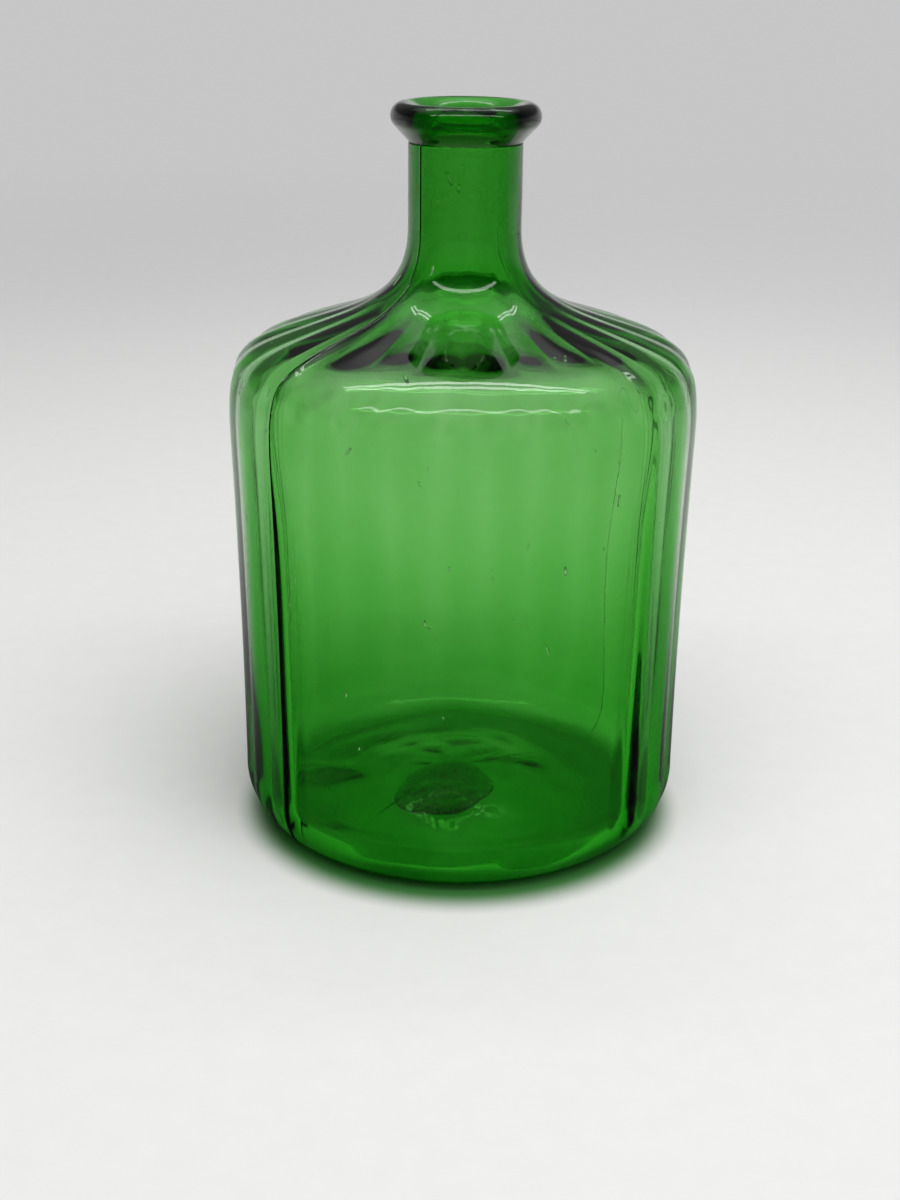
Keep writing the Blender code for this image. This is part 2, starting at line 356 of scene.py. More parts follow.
@dataclass(frozen=True)
class PotGlass:
    """Soda-lime glass that metal oxides coloured all through.

    It was blown or laid while soft, and cooled from the fire, so its skin is polished
    and gently uneven. To the eye it is clear and deeply green, darker wherever the sight
    runs a long way through it, with bright thin lines where a lamp shows in its skin.
    """

    name: str
    # White light comes down to exp(-(1 - kept) · density · metres) of itself
    kept: str = "#6CDF28"
    density: float = 440.0
    index: float = 1.52
    polished: float = 0.012
    dull: float = 0.05
    # Size of the dull patches, and the levels of their pattern between which they set in
    dull_patch: float = 14 * MM
    dull_levels: tuple[float, float] = (0.45, 0.75)
    # Streaks in the skin, drawn out upwards, and the fine pitting of the mould
    cord: float = 22 * MM
    cord_stretch: float = 0.35
    cord_height: float = 0.05 * MM
    pit: float = 1.6 * MM
    pit_height: float = 0.004 * MM
    # Scuffs where the glass slides on a table
    scuffed: float = 0.35
    scuff_reach: float = 1.2 * MM

    def make(self) -> bpy.types.Material:
        """Build the material.

        Returns:
            The material, with its colour in the volume and its wear in the skin.
        """
        material = bpy.data.materials.new(self.name)
        tree = empty_tree(material)
        place = add_node(tree, "TexCoord").outputs["Object"]

        patches = add_node(tree, "TexNoise", {"Vector": place, "Scale": 1 / self.dull_patch, "Detail": 4.0})
        roughness = add_node(tree, "MapRange", (patches, *self.dull_levels, self.polished, self.dull))
        height = add_node(tree, "SeparateXYZ", (place,)).outputs["Z"]
        scuff = add_node(tree, "MapRange", (height, 0.0, self.scuff_reach, self.scuffed, 0.0))
        worn = add_node(tree, "Math", (roughness, scuff), operation="ADD", use_clamp=True)

        long_way = add_node(tree, "Mapping", {"Vector": place, "Scale": (1.0, 1.0, self.cord_stretch)})
        cords = add_node(tree, "TexNoise", {"Vector": long_way, "Scale": 1 / self.cord, "Detail": 1.0})
        pits = add_node(tree, "TexNoise", {"Vector": place, "Scale": 1 / self.pit, "Detail": 2.0})
        streaked = add_node(tree, "Bump", {"Height": cords, "Strength": 1.0, "Distance": self.cord_height})
        pitted = add_node(tree, "Bump", {
            "Height": pits, "Strength": 1.0, "Distance": self.pit_height, "Normal": streaked})

        glass = add_node(tree, "BsdfPrincipled", {
            "Base Color": (1.0, 1.0, 1.0, 1.0), "Metallic": 0.0, "Roughness": worn,
            "IOR": self.index, "Transmission Weight": 1.0, "Normal": pitted})
        tint = add_node(tree, "VolumeAbsorption", {"Color": linear(self.kept), "Density": self.density})
        add_node(tree, "OutputMaterial", {"Surface": glass, "Volume": tint})
        return material


@dataclass
class BlownBody:
    """The vessel, blown into a mould: push-up base, fluted side, shoulder and neck.

    A profile runs from the middle of the push-up, round the heel, up the outside to the
    neck's cut end and down the inside to the floor's middle. It is carried round the
    axis, and flutes, mould seams and unevenness push it along its own normals.
    """

    # Body, with its radius on the ridges between the flutes. The box of the solids
    # gives how far the panel reaches, and the radius follows from it.
    panel_reach: float = -solids_box[0].y - 0.05 * MM
    side_swell: float = 1.7 * MM
    side_top_height: float = 112.6 * MM
    # The shoulder is two curves that meet where it is least steep
    shoulder_height: float = 31.6 * MM
    neck_spread: float = 27.0 * MM
    shoulder_fall_degrees: float = 17.8
    shoulder_rise_share: float = 0.75
    shoulder_crown_share: float = 0.98
    neck_spread_share: float = 0.57
    neck_rise_share: float = 0.70
    # Neck
    neck_radius: float = 15.3 * MM
    neck_sweep_height: float = 26.0 * MM
    neck_straight_height: float = 22.0 * MM
    neck_edge_radius: float = 0.35 * MM
    # Heel and base
    heel_reach: float = 12.0 * MM
    heel_height: float = 15.0 * MM
    resting_ring_width: float = 6.0 * MM
    push_up_height: float = 7.0 * MM
    # Thickness of the glass under the ridges, which settled towards the foot while it
    # was soft, and gathered where the shoulder turns up to the neck
    foot_wall: float = 4.9 * MM
    side_top_wall: float = 2.3 * MM
    neck_root_wall: float = 5.1 * MM
    neck_wall: float = 4.3 * MM
    crown_radius: float = 52.0 * MM
    neck_root_radius: float = 25.0 * MM
    base_thickness: float = 2.4 * MM
    inner_heel_reach: float = 8.5 * MM
    inner_heel_height: float = 12.6 * MM
    floor_follow_share: float = 1.00
    # Lumps where the glass settled on the floor: middle, half widths and height
    lumps: tuple[tuple[float, ...], ...] = (
        (-5 * MM, -16 * MM, 14 * MM, 6 * MM, 3 * MM),
        (-40 * MM, 8 * MM, 6 * MM, 5 * MM, 2.2 * MM))
    # The label panel, sunk between its two edge ridges. The rise is over the side's top.
    pitches: int = 25
    panel_pitches: int = 7
    panel_depth: float = 1.7 * MM
    panel_ramp_share: float = 0.24
    panel_softness_share: float = 0.14
    panel_foot_height: float = 5.0 * MM
    panel_foot_length: float = 8.0 * MM
    panel_top_rise: float = 10.0 * MM
    panel_top_length: float = 22.0 * MM
    # Flutes. Shallower ones cross the shoulder over the panel, in from the crown.
    flute_depth: float = 0.8 * MM
    panel_flute_depth: float = 0.6 * MM
    crown_inset: float = 7.5 * MM
    crown_reach: float = 8.0 * MM
    panel_flutes_inset: float = 14.0 * MM
    panel_flutes_reach: float = 9.0 * MM
    flute_foot_height: float = 2.5 * MM
    flute_foot_length: float = 17.0 * MM
    flute_shoulder_reach: float = 9.0 * MM
    flute_neck_margin: float = 3.0 * MM
    flute_inside_share: float = 0.40
    ridge_rounding_share: float = 0.50
    inner_rounding_share: float = 0.60
    foot_softness_share: float = 0.06
    # Mould seams, raised lines on two opposite ridges
    seam_azimuth_degrees: tuple[float, float] = (-50.4, 129.6)
    seam_height: float = 0.22 * MM
    seam_half_width: float = 0.20 * MM
    seam_foot: tuple[float, float] = (0.5 * MM, 4.0 * MM)
    seam_least_radius_share: float = 0.9
    # Where columns lie across a seam, in half widths of it
    seam_columns: tuple[float, ...] = (-2.0, -1.2, -0.6, 0.6, 1.2, 2.0)
    # Unevenness of the skin, which starts over the foot
    skin: Ripple = Ripple(0.015 * MM, 18, 9, 30 * MM, 3)
    skin_foot_height: float = 4.0 * MM
    # Wrinkles in a band round the crown, where the glass met the cold mould
    chill: Ripple = Ripple(0.14 * MM, 30, 60, 7 * MM, 21)
    chill_height: float = 132.5 * MM
    chill_half_width: float = 4.0 * MM
    # Unevenness of the inside and the floor, which dies out at the neck's cut end and at
    # the floor's middle
    inside: Ripple = Ripple(0.14 * MM, 40, 14, 60 * MM, 5)
    floor: Ripple = Ripple(0.26 * MM, 40, 9, 9 * MM, 8)
    calm_end: float = 6.0 * MM
    calm_middle: float = 20.0 * MM
    # Columns in a pitch, and how much they crowd at the ridges, from 0 to 1
    columns_per_pitch: int = 16
    column_crowding: float = 0.62
    inner_columns_per_pitch: int = 10
    inner_column_crowding: float = 0.3
    # Steps of the outer profile, then of the inner one, each in the order of its run
    push_up_steps: int = 18
    ring_steps: int = 3
    heel_steps: int = 24
    side_steps: int = 34
    shoulder_steps: int = 34
    sweep_steps: int = 24
    neck_steps: int = 8
    edge_steps: int = 4
    inner_neck_steps: int = 5
    inner_sweep_steps: int = 18
    inner_shoulder_steps: int = 24
    inner_side_steps: int = 16
    inner_heel_steps: int = 14
    floor_steps: int = 19
    # Steps for measuring the shoulder, and how fast the side's steps grow with height
    bulge_steps: int = 40
    side_step_growth: float = 1.5
    finish: PotGlass = PotGlass("pot_green_blown_glass")

    def __post_init__(self) -> None:
        """Work out the sizes that follow from the others."""
        self.shoulder_turn_radius = self.neck_radius + self.neck_spread
        self.shoulder_turn_height = self.side_top_height + self.shoulder_height
        self.neck_start_height = self.shoulder_turn_height + self.neck_sweep_height
        self.neck_top_height = self.neck_start_height + self.neck_straight_height
        self.bore_radius = self.neck_radius - self.neck_wall
        self.pitch_angle = math.tau / self.pitches
        self.panel_half_angle = self.panel_pitches * self.pitch_angle / 2
        self.body_radius = self.panel_reach
        bulge = self.shoulder_and_neck(self.bulge_steps, self.sweep_steps)[:, 0].max() - self.panel_reach
        self.body_radius = self.panel_reach - bulge
        self.foot_radius = self.body_radius - self.side_swell
        self.ring_outer_radius = self.foot_radius - self.heel_reach
        self.ring_inner_radius = self.ring_outer_radius - self.resting_ring_width

    def side(self, low_height: float, steps: int) -> np.ndarray:
        """Outer points up the side: foot radius + swell · share², by height over the heel.

        Args:
            low_height: Where the points start.
            steps: Number of steps, short near the foot.

        Returns:
            Rows of (radius, height).
        """
        rise = np.linspace(0, 1, steps + 1) ** self.side_step_growth
        heights = low_height + (self.side_top_height - low_height) * rise
        share = (heights - self.heel_height) / (self.side_top_height - self.heel_height)
        return np.column_stack((self.foot_radius + self.side_swell * share**2, heights))

    def shoulder_and_neck(self, shoulder_steps: int, sweep_steps: int) -> np.ndarray:
        """Outer points from the side's top over the shoulder to the straight of the neck.

        Args:
            shoulder_steps: Steps along the shoulder's curve.
            sweep_steps: Steps along the curve that sweeps up to the neck.

        Returns:
            Rows of (radius, height).
        """
        fall = math.radians(self.shoulder_fall_degrees)
        turn = np.array((self.shoulder_turn_radius, self.shoulder_turn_height))
        downhill = np.array((math.cos(fall), -math.sin(fall)))
        side_lean = 2 * self.side_swell / (self.side_top_height - self.heel_height)
        rise = self.shoulder_rise_share * self.shoulder_height
        crown = self.shoulder_crown_share * (self.body_radius - self.shoulder_turn_radius)
        spread = self.neck_spread_share * self.neck_spread
        neck_rise = self.neck_rise_share * self.neck_sweep_height
        shoulder = pulled_curve((
            (self.body_radius, self.side_top_height),
            (self.body_radius + rise * side_lean, self.side_top_height + rise),
            turn + crown * downhill,
            turn,
        ), shoulder_steps)
        sweep = pulled_curve((
            turn,
            turn - spread * downhill,
            (self.neck_radius, self.neck_start_height - neck_rise),
            (self.neck_radius, self.neck_start_height),
        ), sweep_steps)
        return np.vstack((shoulder, sweep[1:]))

    def wall(self, profile: np.ndarray) -> np.ndarray:
        """Thickness of the glass: linear in height up the side, then in radius from mark to mark.

        Args:
            profile: Rows of (radius, height) on the outside.

        Returns:
            The thicknesses.
        """
        radius, height = profile[:, 0], profile[:, 1]
        on_side = np.interp(height, (self.heel_height, self.side_top_height),
                            (self.foot_wall, self.side_top_wall))
        above = np.interp(-radius, (-self.crown_radius, -self.neck_root_radius, -self.neck_radius),
                          (self.side_top_wall, self.neck_root_wall, self.neck_wall))
        return np.where(height < self.side_top_height, on_side, above)

    def push_up_ceiling(self, radius: np.ndarray) -> np.ndarray:
        """Height of the hollow under the base: rise · (1 + cos(π radius / ring radius)) / 2."""
        share = np.clip(radius / self.ring_inner_radius, 0, 1)
        return self.push_up_height * (1 + np.cos(math.pi * share)) / 2

    def outer_profile(self) -> np.ndarray:
        """Outer points from just off the push-up's middle to the neck's rounded top edge.

        Returns:
            Rows of (radius, height).
        """
        radii = np.linspace(0, self.ring_inner_radius, self.push_up_steps + 1)[1:]
        push_up = np.column_stack((radii, self.push_up_ceiling(radii)))
        ring = np.linspace(push_up[-1], (self.ring_outer_radius, 0), self.ring_steps + 1)[1:]
        heel_centre = (self.ring_outer_radius, self.heel_height)
        heel = oval_arc(heel_centre, self.heel_reach, self.heel_height, -90, 0, self.heel_steps)[1:]
        up_the_side = self.side(self.heel_height, self.side_steps)[1:]
        upper = self.shoulder_and_neck(self.shoulder_steps, self.sweep_steps)[1:]
        rounding = self.neck_edge_radius
        edge_centre = (self.neck_radius - rounding, self.neck_top_height - rounding)
        edge = oval_arc(edge_centre, rounding, rounding, 0, 90, self.edge_steps)
        neck = np.linspace(upper[-1], edge[0], self.neck_steps + 1)[1:-1]
        return np.vstack((push_up, ring, heel, up_the_side, upper, neck, edge))

    def inner_profile(self) -> np.ndarray:
        """Inner points from the neck's cut end down the wall and over the floor.

        The wall is the outside moved in by the glass's thickness. It ends in an oval heel,
        and the floor is the base's thickness plus a share of the push-up's height.

        Returns:
            Rows of (radius, height), without the floor's middle.
        """
        neck_foot = (self.neck_radius, self.neck_start_height)
        neck_top = (self.neck_radius, self.neck_top_height)
        outer = np.vstack((
            self.side(self.base_thickness + self.inner_heel_height, self.inner_side_steps),
            self.shoulder_and_neck(self.inner_shoulder_steps, self.inner_sweep_steps)[1:],
            np.linspace(neck_foot, neck_top, self.inner_neck_steps + 1)[1:],
        ))
        wall = self.wall(outer)
        wall_line = (outer + wall[:, None] * left_of_run(outer))[::-1]
        reach, rise = self.inner_heel_reach, self.inner_heel_height
        heel_radius = wall_line[-1, 0] - reach
        heel_centre = (heel_radius, self.base_thickness + rise)
        heel = oval_arc(heel_centre, reach, rise, 0, -90, self.inner_heel_steps)[1:]
        radii = np.linspace(heel_radius, 0, self.floor_steps + 1)[1:-1]
        floor_heights = self.base_thickness + self.floor_follow_share * self.push_up_ceiling(radii)
        return np.vstack((wall_line, heel, np.column_stack((radii, floor_heights))))

    def flute_strength(self, radius: np.ndarray) -> np.ndarray:
        """Share of the flutes' full depth, all of it on the side and none at the neck."""
        return ease(self.neck_radius + self.flute_neck_margin,
                    self.body_radius - self.flute_shoulder_reach, radius)

    def soft_ramp(self, share: np.ndarray) -> np.ndarray:
        """Ramp from 0 to 1 with rounded ends: (√(s² + e²) - √((s - 1)² + e²) + 1) / 2."""
        end = self.panel_softness_share
        return (np.sqrt(share**2 + end**2) - np.sqrt((share - 1) ** 2 + end**2) + 1) / 2

    def hollows(self, azimuth: np.ndarray, profile: np.ndarray, rounding: float) -> np.ndarray:
        """Depth of the sunk panel and of the flutes under the line of the ridges.

        A flute is a bowl, 1 - across² - down². Across runs from -1 to 1 between two
        ridges, and down from 0 to 1 over a flute's foot, which so ends in an oval. Its
        rim is softened as bowl² / (bowl + softness). The distance to a ridge, d = 1 -
        |across|, is taken as √(d² + rounding²) - rounding, which rounds the ridge. The
        panel is flat behind soft ramps at its edges and its foot, rises in two steps at
        its top and on the crown, and breaks up into bowls.

        Args:
            azimuth: One azimuth for each column.
            profile: Rows of (radius, height), one for each ring.
            rounding: The rounding, as a share of half a pitch.

        Returns:
            An array of rings by columns.
        """
        radius, height = profile[:, :1], profile[:, 1:]
        turn = np.abs((azimuth + math.pi) % math.tau - math.pi)[None, :]
        pitches_past = (turn - self.panel_half_angle) / self.pitch_angle
        ridge_distance = 1 - np.abs(2 * (pitches_past % 1) - 1)
        across = 1 - (np.sqrt(ridge_distance**2 + rounding**2) - rounding)
        foot_top = self.flute_foot_height + self.flute_foot_length
        down = np.clip((foot_top - height) / self.flute_foot_length, 0, None)
        bowl = np.clip(1 - across**2 - down**2, 0, None)
        bowl = bowl**2 / (bowl + self.foot_softness_share)
        sunk = self.soft_ramp(-pitches_past / self.panel_ramp_share)
        sunk = sunk * self.soft_ramp((height - self.panel_foot_height) / self.panel_foot_length)
        panel_top = self.side_top_height + self.panel_top_rise
        below_top = self.soft_ramp((panel_top - height) / self.panel_top_length)
        inset = (self.body_radius - radius) * (height > self.side_top_height)
        on_crown = ease(self.crown_inset, self.crown_inset + self.crown_reach, inset)
        level = self.panel_flute_depth + (self.flute_depth - self.panel_flute_depth) * (1 - on_crown)
        ground = sunk * (level + (self.panel_depth - self.flute_depth) * below_top)
        over_panel = ease(self.panel_flutes_inset, self.panel_flutes_inset + self.panel_flutes_reach, inset)
        flutes = bowl * np.where(pitches_past > 0, self.flute_depth, self.panel_flute_depth * over_panel)
        return (ground * (1 - over_panel) + flutes) * self.flute_strength(radius)

    def lump_height(self, azimuth: np.ndarray, radius: np.ndarray) -> np.ndarray:
        """Height of the lumps on the floor: bells, exp(-(x off / width)² - (y off / width)²).

        Args:
            azimuth: One azimuth for each column.
            radius: One radius for each ring.

        Returns:
            An array of rings by columns.
        """
        place = turned(radius[:, None], 0.0, azimuth[None, :])
        across, along = place[..., 0], place[..., 1]
        return sum(height * np.exp(-((across - x) / half_x) ** 2 - ((along - y) / half_y) ** 2)
                   for x, y, half_x, half_y, height in self.lumps)

    def seam_raise(self, azimuth: np.ndarray, profile: np.ndarray) -> np.ndarray:
        """Height of the mould seams: a bell, exp(-(arc / half width)²), above the heel.

        Args:
            azimuth: One azimuth for each column.
            profile: Rows of (radius, height), one for each ring.

        Returns:
            An array of rings by columns.
        """
        raised = np.zeros((len(profile), len(azimuth)))
        for seam in np.radians(self.seam_azimuth_degrees):
            off = (azimuth - seam + math.pi) % math.tau - math.pi
            arc = profile[:, :1] * off[None, :]
            raised += np.exp(-(arc / self.seam_half_width) ** 2)
        on_the_wall = ease(*self.seam_foot, profile[:, 1])
        on_the_wall = on_the_wall * (profile[:, 0] > self.seam_least_radius_share * self.neck_radius)
        return self.seam_height * raised * on_the_wall[:, None]

    def columns(self, per_pitch: int, crowding: float) -> np.ndarray:
        """Azimuths round the bottle, in rising order, closer together near each ridge.

        A column at share s of a pitch, from -1 to 1, lies at (1 - crowding) s +
        crowding sin(π s / 2) of it.

        Args:
            per_pitch: Number of columns in a pitch.
            crowding: How much they crowd at the ridges, from 0 to 1.

        Returns:
            The azimuths.
        """
        share = np.arange(per_pitch) / per_pitch * 2 - 1
        place = (1 - crowding) * share + crowding * np.sin(math.pi / 2 * share)
        middles = np.arange(self.pitches) - self.pitches / 2
        return ((middles[:, None] + place[None, :] / 2) * self.pitch_angle).ravel()

    def outer_columns(self) -> np.ndarray:
        """Azimuths of the outside's columns, with a few more across each mould seam.

        Returns:
            The azimuths, in rising order.
        """
        plain = self.columns(self.columns_per_pitch, self.column_crowding)
        offsets = np.array(self.seam_columns) * self.seam_half_width / self.body_radius
        seams = np.radians(self.seam_azimuth_degrees)[:, None] + offsets[None, :]
        return np.sort(np.concatenate((plain, seams.ravel())))

    def make(self) -> bpy.types.Object:
        """Build the body and dress it.

        Returns:
            The finished piece.
        """
        outer, inner = self.outer_profile(), self.inner_profile()
        outside = self.outer_columns()
        within = self.columns(self.inner_columns_per_pitch, self.inner_column_crowding)
        draft = MeshDraft()

        off_the_ring = (outer[:, 0] > self.ring_outer_radius) | (outer[:, 1] > self.heel_height)
        over_foot = ease(0, self.skin_foot_height, outer[:, 1]) * off_the_ring
        dip = off_the_ring[:, None] * self.hollows(outside, outer, self.ridge_rounding_share)
        dip = dip - self.seam_raise(outside, outer)
        dip = dip + over_foot[:, None] * self.skin.height(outside, outer[:, 1])
        chilled = np.exp(-(((outer[:, 1] - self.chill_height) / self.chill_half_width) ** 2))
        dip = dip + chilled[:, None] * self.chill.height(outside, outer[:, 1])
        outer_rings = draft.add_points(self.pushed(outer, left_of_run(outer), dip, outside))

        run = length_along(inner)
        followed = self.flute_inside_share * (inner[:, 1] > self.base_thickness + self.inner_heel_height)
        push = followed[:, None] * self.hollows(within, inner, self.inner_rounding_share)
        calm = ease(0, self.calm_end, run) * ease(0, self.calm_middle, inner[:, 0])
        push = push + calm[:, None] * self.inside.height(within, run)
        low = 1 - ease(self.base_thickness, self.base_thickness + 2 * self.inner_heel_height, inner[:, 1])
        push = push + (low * calm)[:, None] * self.floor.height(within, run)
        push = push + low[:, None] * self.lump_height(within, inner[:, 0])
        inner_rings = draft.add_points(self.pushed(inner, -left_of_run(inner), push, within))

        base = draft.add_points(np.array(((0, 0, self.push_up_height),)))
        floor_middle = self.base_thickness + self.floor_follow_share * self.push_up_height
        middle = draft.add_points(np.array(((0, 0, floor_middle),)))
        draft.add_fan(outer_rings[0], base[0], at_start=True)
        draft.add_bands(outer_rings)
        draft.add_zip(outer_rings[-1], outside, inner_rings[0], within)
        draft.add_bands(inner_rings)
        draft.add_fan(inner_rings[-1], middle[0], at_start=False)
        Seeds().add_to(draft, self)
        return draft.make("blown_body", self.finish.make())

    def pushed(self, profile: np.ndarray, direction: np.ndarray, push: np.ndarray,
               azimuth: np.ndarray) -> np.ndarray:
        """Carry a profile round the axis after moving it: profile + push · direction.

        Args:
            profile: Rows of (radius, height).
            direction: Rows of unit (radius, height).
            push: Rings by columns.
            azimuth: One azimuth for each column.

        Returns:
            An array of rings by columns by x, y and z.
        """
        radius = profile[:, :1] + push * direction[:, :1]
        height = profile[:, 1:] + push * direction[:, 1:]
        return turned(radius, height, azimuth[None, :])


@dataclass
class Seeds:
    """Gas bubbles that the wall holds, drawn out along the way that the glass was blown.

    Each is a hollow ball with three half lengths: along the wall's profile, round the
    bottle and through the glass. Its faces point into the gas.
    """

    # How many lie on the shoulder, the side and the neck, and between which heights
    bands: tuple[tuple[int, float, float], ...] = (
        (44, 116 * MM, 151 * MM), (34, 22 * MM, 116 * MM), (8, 155 * MM, 188 * MM))
    half_length: float = 0.75 * MM
    half_width: float = 0.26 * MM
    half_thickness: float = 0.20 * MM
    size_spread: float = 0.42
    largest: tuple[float, float, float] = (2.2 * MM, 0.55 * MM, 0.42 * MM)
    depth_share: tuple[float, float] = (0.25, 0.75)
    # First point of the body's profile that can hold one, past the base and low heel
    first_ring: int = 25
    turn_degrees: float = 22.0
    columns: int = 10
    rings: int = 6
    seed: int = 21

    def add_to(self, draft: MeshDraft, body: BlownBody) -> None:
        """Scatter the bubbles in the body's wall.

        Args:
            draft: The body's mesh.
            body: The body, for its profile and thickness.
        """
        draw = np.random.default_rng(self.seed)
        profile = body.outer_profile()[self.first_ring:]
        inward = left_of_run(profile)
        heights = np.concatenate([draw.uniform(low, high, count) for count, low, high in self.bands])
        count = len(heights)
        ring = np.searchsorted(profile[:, 1], heights).clip(1, len(profile) - 2)
        azimuth = draw.uniform(-math.pi, math.pi, count)
        spot = profile[ring]
        depth = (body.wall(spot) - body.panel_depth) * draw.uniform(*self.depth_share, count)
        depth += body.panel_depth * body.flute_strength(spot[:, 0])

        swell = np.exp(self.size_spread * draw.standard_normal((count, 2)))
        halves = np.column_stack((self.half_length * swell[:, 0] * swell[:, 1],
                                  self.half_width * swell[:, 1], self.half_thickness * swell[:, 1]))
        halves = np.minimum(halves, self.largest)[..., None]

        centre = turned(profile[ring, 0] + depth * inward[ring, 0],
                        profile[ring, 1] + depth * inward[ring, 1], azimuth)
        through = turned(inward[ring, 0], inward[ring, 1], azimuth)
        level = turned(np.ones(count), np.zeros(count), azimuth + math.pi / 2)
        along = np.cross(through, level)
        lean = np.radians(self.turn_degrees) * draw.standard_normal(count)[:, None]
        long_axis = along * np.cos(lean) + level * np.sin(lean)
        short_axis = level * np.cos(lean) - along * np.sin(lean)

        latitude = np.linspace(-math.pi / 2, math.pi / 2, self.rings + 2)[1:-1]
        longitude = whole_turn(self.columns)
        ball = turned(np.cos(latitude)[:, None], np.sin(latitude)[:, None], longitude[None, :])
        axes = (short_axis * halves[:, 1], through * halves[:, 2], long_axis * halves[:, 0])
        axes = np.stack(axes, axis=1)
        poles = np.array(((0, 0, -1.0), (0, 0, 1.0)))
        for number in range(count):
            rings = draft.add_points(centre[number] + ball @ axes[number])
            ends = draft.add_points(centre[number] + poles @ axes[number])
            draft.add_bands(rings[:, ::-1])
            draft.add_fan(rings[0, ::-1], ends[0], at_start=True)
            draft.add_fan(rings[-1, ::-1], ends[1], at_start=False)


@dataclass
class LaidOnLip:
    """The lip: a strip of hot glass laid round the neck's cut end and pressed with a tool.

    Its profile is a closed loop: a cone off the neck, a round bead, an oval mouth and
    the bore. Carried round the axis, it swells and sinks a little, as a hand leaves it.
    """

    body: BlownBody
    # Gap over the neck's cut end, as it is seen here and as the solids have it
    join_gap: float = 0.04 * MM
    join_clearance: float = 0.3 * MM
    height: float = 10.0 * MM
    overhang: float = 4.8 * MM
    bead_radius: float = 3.6 * MM
    mouth_step: float = 1.4 * MM
    mouth_depth: float = 6.0 * MM
    foot_edge_radius: float = 0.35 * MM
    foot_edge_end_degrees: float = -10.0
    columns: int = 192
    edge_steps: int = 4
    cone_steps: int = 6
    bead_steps: int = 26
    mouth_steps: int = 16
    bore_steps: int = 5
    # Unevenness, which starts over the foot
    even_height: float = 3.0 * MM
    hand: Ripple = Ripple(0.10 * MM, 14, 5, 14 * MM, 12)
    finish: PotGlass = PotGlass("pot_green_tooled_glass", cord_height=0.08 * MM, scuffed=0.0)

    def profile(self) -> np.ndarray:
        """The lip's closed outline, up the outside, over the bead and down the bore.

        Returns:
            Rows of (radius, height).
        """
        top = self.body.neck_top_height + self.join_clearance + self.height
        foot_height = self.body.neck_top_height + self.join_gap
        foot = np.array((self.body.neck_radius, foot_height))
        round_off, rounding = self.bead_radius, self.foot_edge_radius
        bead = np.array((self.body.neck_radius + self.overhang - round_off, top - round_off))
        reach = bead - foot
        bearing = math.atan2(reach[1], reach[0])
        tangent = math.degrees(bearing - math.pi / 2 - math.asin(round_off / math.hypot(*reach)))
        edge_centre = foot + (-rounding, rounding)
        edge = oval_arc(edge_centre, rounding, rounding, -90, self.foot_edge_end_degrees, self.edge_steps)
        outside = oval_arc(bead, round_off, round_off, tangent, 90, self.bead_steps)
        cone = np.linspace(edge[-1], outside[0], self.cone_steps + 1)[1:-1]
        mouth_reach = bead[0] - (self.body.bore_radius - self.mouth_step)
        mouth_centre = (bead[0], top - self.mouth_depth)
        mouth = oval_arc(mouth_centre, mouth_reach, self.mouth_depth, 90, 180, self.mouth_steps)
        bore_foot = np.array((self.body.bore_radius, foot_height))
        bore = np.linspace(mouth[-1], bore_foot, self.bore_steps + 1)[1:]
        sole = np.linspace(bore_foot, edge[0], self.bore_steps + 1)[1:-1]
        return np.vstack((edge, cone, outside, mouth[1:], bore, sole))

    def make(self) -> bpy.types.Object:
        """Build the lip and dress it.

        Returns:
            The finished piece.
        """
        profile = self.profile()
        azimuth = whole_turn(self.columns) - math.pi
        direction = left_of_run(np.vstack((profile[-1:], profile, profile[:1])))[1:-1]
        lifted = ease(0, self.even_height, profile[:, 1] - profile[0, 1])
        push = lifted[:, None] * np.abs(self.hand.height(azimuth, length_along(profile)))
        draft = MeshDraft()
        rings = draft.add_points(self.body.pushed(profile, direction, push, azimuth))
        draft.add_bands(np.vstack((rings, rings[:1])))
        return draft.make("laid_on_lip", self.finish.make())


